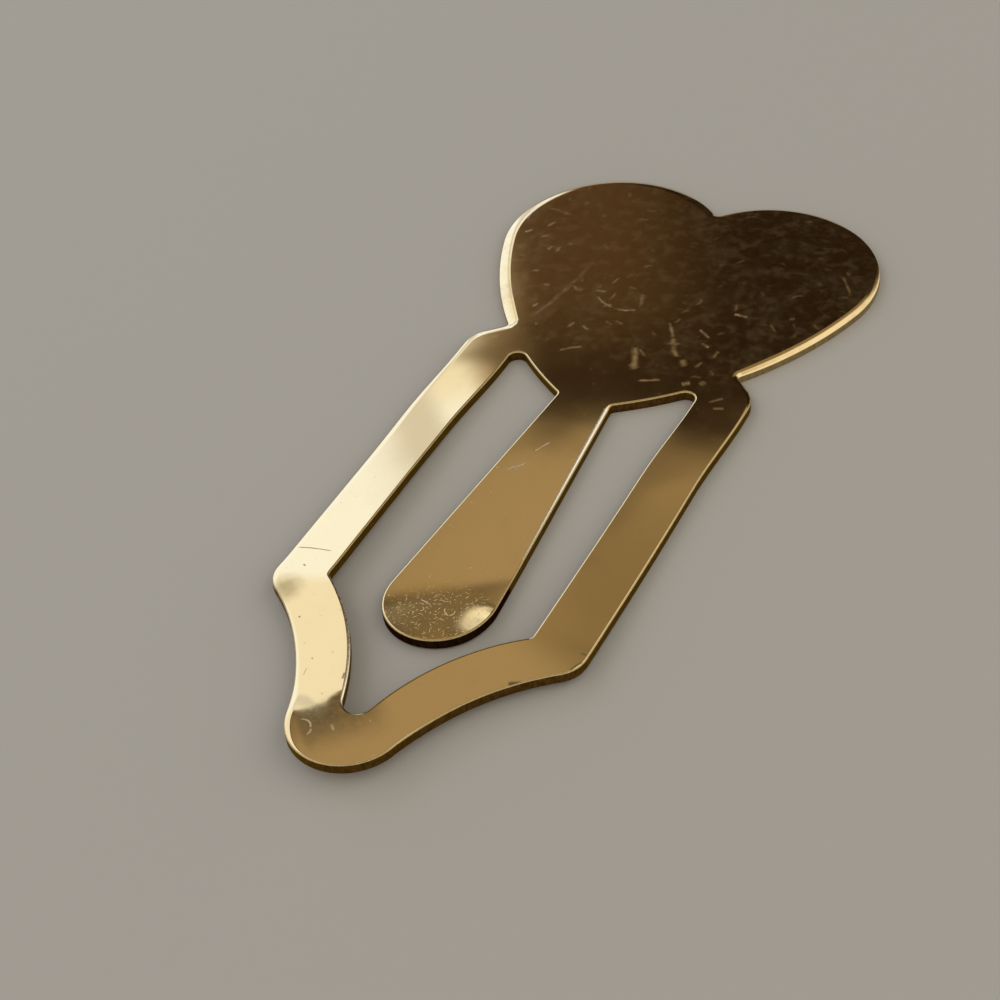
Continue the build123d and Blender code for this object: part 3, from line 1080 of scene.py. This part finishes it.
# A near-white edge: wear, and a painted highlight that shows the edge line white
def worn_highlight_brass():
    dark, light = (0.88, 0.78, 0.60, 1), (0.95, 0.87, 0.72, 1)
    return punched_brass("worn edge with painted highlight", dark, light, rough=0.2, depth=0.0015)


# Near-black wall: painted shade where the slot between tongue and toe lies in shadow
def painted_shade_wall():
    dark, light = (0.02, 0.010, 0.003, 1), (0.05, 0.026, 0.009, 1)
    glancing = (0.5, 0.35, 0.15, 1)
    return punched_brass("painted shade edge", dark, light, rough=0.4, depth=0.015, glancing=glancing)


# ---------------------------------------------------------------- the pieces, with the heart and the toe on their bodies
finishes = [polished_brass(), burnished_brass(), sheared_shaded_brass(), worn_highlight_brass(), painted_shade_wall()]
made = {name: sheet_object(name + "_sheet", piece, finishes) for name, piece in sheet_pieces.items()}


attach(made["heart"], "heart")
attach(made["toe"], "frame")
for side in ("left_arm", "right_arm"):
    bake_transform(made[side])
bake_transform(made["tongue"])
for name, piece in made.items():
    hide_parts(name)

# ---------------------------------------------------------------- floor, light and camera
FLOOR_REACH = 3.0
FLOOR_COLOR = (0.385, 0.36, 0.315, 1)
FLOOR_ROUGHNESS = 0.8

floor_mesh = bpy.data.meshes.new("floor")
floor_corners = [(x * FLOOR_REACH, y * FLOOR_REACH, 0) for x, y in ((-1, -1), (1, -1), (1, 1), (-1, 1))]
floor_mesh.from_pydata(floor_corners, [], [(0, 1, 2, 3)])
floor_material, _, floor_shader = new_material("pale floor")
floor_shader.inputs["Base Color"].default_value = FLOOR_COLOR
floor_shader.inputs["Roughness"].default_value = FLOOR_ROUGHNESS
floor_mesh.materials.append(floor_material)
floor = bpy.data.objects.new("floor", floor_mesh)
bpy.context.scene.collection.objects.link(floor)

# The studio that the brass mirrors, in degrees: bearings from +Y towards +X, and heights
STUDIO_LIGHT = (1.15, 1.14, 1.12, 1)
OVERHEAD = (0.47, 0.40, 0.28, 1)
OVERHEAD_START = (58, 72)
BACKDROP_LEFT = (0.45, 0.365, 0.25, 1)
BACKDROP_RIGHT = (0.30, 0.235, 0.145, 1)
BACKDROP_SIDES = (-98, -84, 6, 20)
BACKDROP_TURN = (-28, -20)
# A dark card, with a faint glow low at its left and a haze over its top
CARD = (0.024, 0.014, 0.008, 1)
CARD_SIDES = (-31.6, -29.6, 4, 22)
CARD_TOP = (39.2, 39.6)
CARD_TOP_TURN = (-28, -23)
CARD_EDGE = (1.1, 0.1)
CARD_GLOW = (0.092, 0.055, 0.030, 1)
CARD_GLOW_SIDE = (-21.5, -27)
CARD_GLOW_TOP = (38.6, 35.8)
HAZE_SIDES = (-26.8, -24.4, 4, 22)
HAZE_TOP = (42.4, 41.0)
HAZE_STRENGTH = 0.4
# A bright panel left of the card: it has a slanting top, a dimmer bar, and a rim that widens leftwards
PANEL_LOW = (1.22, 1.45, 1.98, 1)
PANEL_HIGH = (1.13, 1.21, 1.36, 1)
PANEL_RISE = (28, 37)
PANEL_SIDES = (-92, -80, -33.2, -30.6)
PANEL_TOP = 22.5
PANEL_SLANT = -0.5
PANEL_EDGE = (-0.8, -1.6)
PANEL_BAR = (0.86, 0.93, 1.14, 1)
PANEL_BAR_SIDES = (-44, -40.5, -38.5, -35.5)
PANEL_RIM = (0.13, 0.10, 0.062, 1)
RIM_SIDES = (-92, -80, -31.5, -29.5)
RIM_EDGES = (-1.8, -0.8, 0.8, 2.6)
RIM_SPREAD = -0.05
RIM_SPREAD_START = 0.65

studio = bpy.data.worlds.new("studio")
studio.use_nodes = True
studio.node_tree.nodes.clear()
sky = Nodes(studio.node_tree)
ways = sky.add("ShaderNodeSeparateXYZ", {0: sky.add("ShaderNodeTexCoord").outputs["Generated"]}).outputs
height = sky.math("DEGREES", sky.math("ARCSINE", ways[2]))
bearing = sky.math("DEGREES", sky.math("ARCTAN2", ways[0], ways[1]))


def between(value, low, low_full, high_full, high):
    """1 between the two full values, and 0 outside the outer ones."""
    return sky.math("MULTIPLY", sky.range(value, low, low_full), sky.range(value, high, high_full))


backdrop = sky.mix(sky.range(bearing, *BACKDROP_TURN), BACKDROP_LEFT, BACKDROP_RIGHT)
light = sky.mix(between(bearing, *BACKDROP_SIDES), STUDIO_LIGHT, backdrop)
light = sky.mix(sky.range(height, *OVERHEAD_START), light, OVERHEAD)

haze = sky.math("MULTIPLY", between(bearing, *HAZE_SIDES), sky.range(height, *HAZE_TOP))
light = sky.mix(sky.math("MULTIPLY", haze, HAZE_STRENGTH), light, CARD)
over_card = sky.math("SUBTRACT", height, sky.range(bearing, *CARD_TOP_TURN, *CARD_TOP))
card = sky.math("MULTIPLY", between(bearing, *CARD_SIDES), sky.range(over_card, *CARD_EDGE))
card_glow = sky.math("MULTIPLY", sky.range(bearing, *CARD_GLOW_SIDE), sky.range(height, *CARD_GLOW_TOP))
light = sky.mix(card, light, sky.mix(card_glow, CARD, CARD_GLOW))

panel_top = sky.math("ADD", sky.math("MULTIPLY", bearing, PANEL_SLANT), PANEL_TOP)
rim_spread = sky.math("SUBTRACT", sky.math("MULTIPLY", bearing, RIM_SPREAD), RIM_SPREAD_START)
over_panel = sky.math("SUBTRACT", height, panel_top)
over_panel = sky.math("DIVIDE", over_panel, sky.math("MAXIMUM", 1.0, rim_spread))
rim = sky.math("MULTIPLY", between(bearing, *RIM_SIDES), between(over_panel, *RIM_EDGES))
light = sky.mix(rim, light, PANEL_RIM)
panel_light = sky.mix(sky.range(height, *PANEL_RISE), PANEL_LOW, PANEL_HIGH)
panel_light = sky.mix(between(bearing, *PANEL_BAR_SIDES), panel_light, PANEL_BAR)
panel = sky.math("MULTIPLY", between(bearing, *PANEL_SIDES), sky.range(over_panel, *PANEL_EDGE))
light = sky.mix(panel, light, panel_light)
glow = sky.add("ShaderNodeBackground", {"Color": light, "Strength": 1.0})
sky.add("ShaderNodeOutputWorld", {"Surface": glow.outputs[0]})
bpy.context.scene.world = studio

CAMERA_PLACE = Vector((39.194, -70.161, 68.136)) * MM
CAMERA_RIGHT = Vector((0.88784, 0.45136, -0.08958)).normalized()
CAMERA_BACK = Vector((0.39094, -0.63728, 0.66411)).normalized()
CAMERA_LENS = 70.2
CAMERA_SENSOR = 36
CAMERA_NEAR, CAMERA_FAR = 0.005, 10

camera_data = bpy.data.cameras.new("camera")
camera_data.lens = CAMERA_LENS
camera_data.sensor_width = CAMERA_SENSOR
camera_data.clip_start = CAMERA_NEAR
camera_data.clip_end = CAMERA_FAR
camera = bpy.data.objects.new("camera", camera_data)
camera_up = CAMERA_BACK.cross(CAMERA_RIGHT)
turned = Matrix((CAMERA_RIGHT, camera_up, CAMERA_BACK)).transposed().to_4x4()
camera.matrix_world = Matrix.Translation(CAMERA_PLACE) @ turned
bpy.context.scene.collection.objects.link(camera)
bpy.context.scene.camera = camera

bpy.context.scene.view_settings.view_transform = "Standard"
